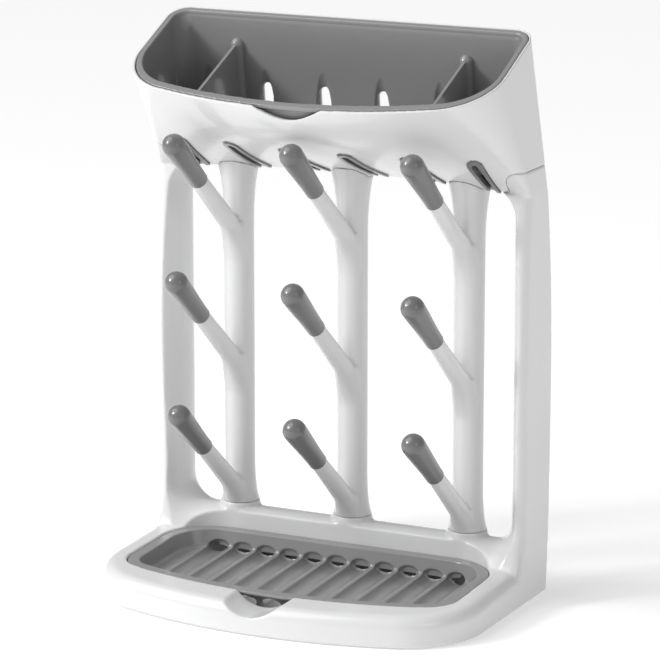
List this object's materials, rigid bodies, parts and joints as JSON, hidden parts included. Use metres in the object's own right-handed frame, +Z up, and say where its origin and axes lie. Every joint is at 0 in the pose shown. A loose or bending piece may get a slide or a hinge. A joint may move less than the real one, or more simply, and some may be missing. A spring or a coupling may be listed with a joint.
{
  "type": "bottle drying rack",
  "caption": "Upright bottle drying rack: base with lift-out ribbed drip tray, peg trees with soft caps between two legs, and a tilted lift-out bin on top.",
  "frame": {"origin": "on the floor, at the centre of the rack's bounding box", "axes": "+Z up, front of the rack towards -Y, +X to the right as seen from the front"},
  "size_m": [0.3, 0.1972, 0.4197],
  "materials": {
    "white_gloss": "gloss",
    "grey_plastic": "satin",
    "grey_soft": "satin",
    "foot_rubber": "matte"
  },
  "bodies": {
    "frame": {"base_frame": "white_gloss", "top_housing": "white_gloss", "peg_tree_left": "white_gloss", "peg_tree_middle": "white_gloss", "peg_tree_right": "white_gloss", "cap_left_lower": "grey_soft", "cap_left_middle": "grey_soft", "cap_left_upper": "grey_soft", "cap_middle_lower": "grey_soft", "cap_middle_middle": "grey_soft", "cap_middle_upper": "grey_soft", "cap_right_lower": "grey_soft", "cap_right_middle": "grey_soft", "cap_right_upper": "grey_soft", "slot_liner_outer_left": "grey_soft", "slot_liner_middle_left": "grey_soft", "slot_liner_inner_left": "grey_soft", "slot_liner_inner_right": "grey_soft", "slot_liner_middle_right": "grey_soft", "slot_liner_outer_right": "grey_soft", "foot_front_left": "foot_rubber", "foot_front_right": "foot_rubber", "foot_rear_left": "foot_rubber", "foot_rear_right": "foot_rubber"},
    "bin": {"top_bin": "grey_plastic", "bin_divider_left": "grey_plastic", "bin_divider_right": "grey_plastic"},
    "tray": {"drip_tray": "grey_plastic"}
  },
  "joints": [
    {"name": "bin_lift", "type": "slide", "parent": "frame", "child": "bin", "axis": [0, -0.1154, 0.9933], "range_m": [0, 0.11]},
    {"name": "tray_lift", "type": "slide", "parent": "frame", "child": "tray", "axis": [0, 0, 1], "range_m": [0, 0.018]}
  ]
}
